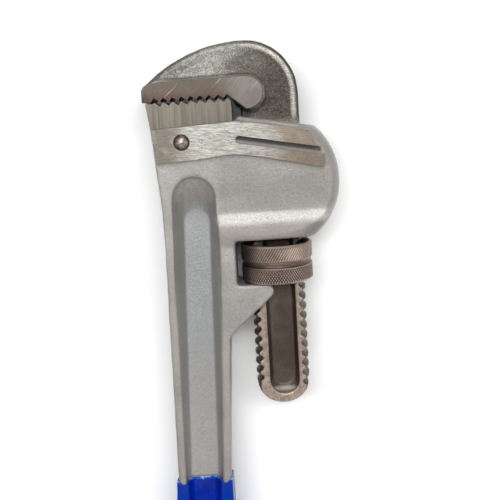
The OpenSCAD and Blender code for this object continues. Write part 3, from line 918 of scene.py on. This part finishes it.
def make_grip():
    """The dipped sleeve: soft edges and a wavy open end, thinned towards it."""
    obj = mesh_from("dipped_sleeve", welded("grip"))
    remesh(obj, SKIN_VOXEL)
    mesh = obj.data
    relax(mesh, 6, np.ones(len(mesh.vertices)))
    points = points_of(mesh)
    _, y, z = local(points).T
    near = smoothstep(GRIP_TOP - 9, GRIP_TOP, y)
    wavelength = 9 * MM
    wave = np.array([noise.noise(Vector((p[0], 0.3, p[2])) / wavelength) for p in points])
    ends = points[y > GRIP_TOP - 4, 0]
    out = np.abs(points[:, 0] - (ends.min() + ends.max()) / 2) / MM
    scallop = 3 * smoothstep(14.2, 17.4, out) + 3.6 * smoothstep(12.8, 10, out)
    points[:, 1] += near * (scallop - 0.26 * (12 - z) - 0.5 * (wave + 0.6)) * MM
    normals = normals_of(mesh)
    handle_x = centre_of("grip").x + 2.3 * MM
    faces_out = normals[:, 2] * np.sign(z) > 0.15
    sides_out = normals[:, 0] * (points[:, 0] - handle_x) > 0
    outer = faces_out | ((np.abs(normals[:, 2]) <= 0.15) & sides_out)
    thinner = 1.2 * MM * outer * smoothstep(GRIP_TOP - 34, GRIP_TOP - 2, y) ** 2
    set_points(mesh, points - normals * thinner[:, None])
    relax(mesh, 3, np.ones(len(mesh.vertices)))
    roughen(mesh, [(18, 0.14), (6, 0.03)])
    thin_out(obj, 0.7)
    mark_lip(obj)
    shade(obj, 180)
    return obj


# ---------- setting ----------


def make_camera():
    """Above the wrench, a little towards its jaws, and turned a little about the line of sight."""
    distance, tilt, roll = 0.440, math.radians(10), math.radians(3.4)
    target = at(-16.6, 7)
    right = Vector((math.cos(roll), -math.sin(roll), 0))
    up = Vector((math.sin(roll) * math.cos(tilt), math.cos(roll) * math.cos(tilt), -math.sin(tilt)))
    back = right.cross(up)
    data = bpy.data.cameras.new("camera")
    data.lens, data.sensor_width = 50.4, 36
    data.clip_start, data.clip_end = 0.01, 20
    obj = new_object("camera", data)
    turn = Matrix((right, up, back)).transposed().to_4x4()
    obj.matrix_world = Matrix.Translation(target + back * distance) @ turn
    bpy.context.scene.camera = obj


def make_floor():
    """A pale floor just below the wrench. The camera sees it turn white between near and far."""
    bm = bmesh.new()
    bmesh.ops.create_grid(bm, x_segments=8, y_segments=8, size=6)
    obj = mesh_from("floor", bm)
    obj.location.z = -0.0002
    near, far = 500, 1600
    p = Paint("floor_paper")
    colour = p.tint(linear(250, 250, 250), p.noise(30, 2, 0.5), 0.004)
    away = p.math("SQRT", p.plus(p.times(p.x, p.x), p.times(p.y, p.y)))
    seen = p.node("ShaderNodeLightPath").outputs["Is Camera Ray"]
    obj.data.materials.append(p.finish(
        colour, 0.9, 0.0,
        Emission_Color=linear(255, 255, 255),
        Emission_Strength=p.times(p.ramp(away, near, far), seen),
    ))


def area_light(name, where, aim, size, power):
    """A rectangular light. where and aim are in metres from the middle of the nut."""
    data = bpy.data.lights.new(name, "AREA")
    data.shape, data.size, data.size_y = "RECTANGLE", size[0], size[1]
    data.energy = power
    obj = new_object(name, data)
    obj.location = NUT + Vector(where)
    obj.rotation_euler = (Vector(aim) - Vector(where)).to_track_quat("-Z", "Y").to_euler()


def make_surround():
    """A surround that lights the wrench strongly from the horizon and weakly from overhead.

    The camera sees it white.
    """
    low, high, at_horizon, overhead = 0.02, 0.4, 10.0, 0.85
    white_strength = 21.0
    world = bpy.data.worlds.new("surround")
    world.use_nodes = True
    tree = world.node_tree
    place = tree.nodes.new("ShaderNodeTexCoord")
    split = tree.nodes.new("ShaderNodeSeparateXYZ")
    fade = tree.nodes.new("ShaderNodeMapRange")
    seen = tree.nodes.new("ShaderNodeLightPath")
    white = tree.nodes.new("ShaderNodeMath")
    either = tree.nodes.new("ShaderNodeMath")
    for socket, value in zip(list(fade.inputs)[1:5], (low, high, at_horizon, overhead)):
        socket.default_value = value
    white.operation, either.operation = "MULTIPLY", "MAXIMUM"
    white.inputs[1].default_value = white_strength
    tree.links.new(place.outputs["Generated"], split.inputs[0])
    tree.links.new(split.outputs["Z"], fade.inputs[0])
    tree.links.new(seen.outputs["Is Camera Ray"], white.inputs[0])
    tree.links.new(fade.outputs[0], either.inputs[0])
    tree.links.new(white.outputs[0], either.inputs[1])
    tree.links.new(either.outputs[0], tree.nodes["Background"].inputs["Strength"])
    bpy.context.scene.world = world


def make_light():
    """Soft area lights: a strong one beyond the jaws, and weaker ones at three other sides."""
    area_light("key", (-0.1, 0.5, 1.3), (0, 0, 0), (1.8, 0.4), 22)
    area_light("side", (1.2, 0.1, 0.7), (0, 0, 0), (0.7, 1.4), 4.5)
    area_light("edge", (-0.2, 1.3, 0.5), (0, 0, 0), (1.4, 0.5), 2)
    area_light("fill", (0, -1.0, 1.1), (0, -0.15, 0), (1.6, 0.6), 7.5)
    make_surround()
    bpy.context.scene.view_settings.view_transform = "Standard"


make_camera()
make_floor()
make_light()

cast, band = cast_paint(), ground_band()
wear(make_casting(), cast, "handle", "cast_body", "handle_body")
for plate in make_bands():
    wear(plate, band, "handle", "cast_body")
wear(make_grip(), dipped_grip(), "handle", "grip", "grip")
wear(make_heel(), heel_steel(), "handle", "heel_steel", "heel_jaw")
wear(make_pin(), pin_steel(), "handle", "pin_steel", "heel_jaw_pin")
wear(make_forging(), forged_steel(), "hook", "forged_steel", "hook_jaw")
wear(make_pad(), ground_pad(), "hook", "forged_steel")
wear(make_nut(), nut_steel(), "nut", "nut_steel", "adjusting_nut")

spring = spring_steel()
coil = make_coil()
coil.data.materials.append(spring)
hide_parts("coil_spring")
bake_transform(coil)
for node in ("flat_spring", "spring_rivet"):
    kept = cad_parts[node]
    kept.data.materials.clear()
    kept.data.materials.append(spring)
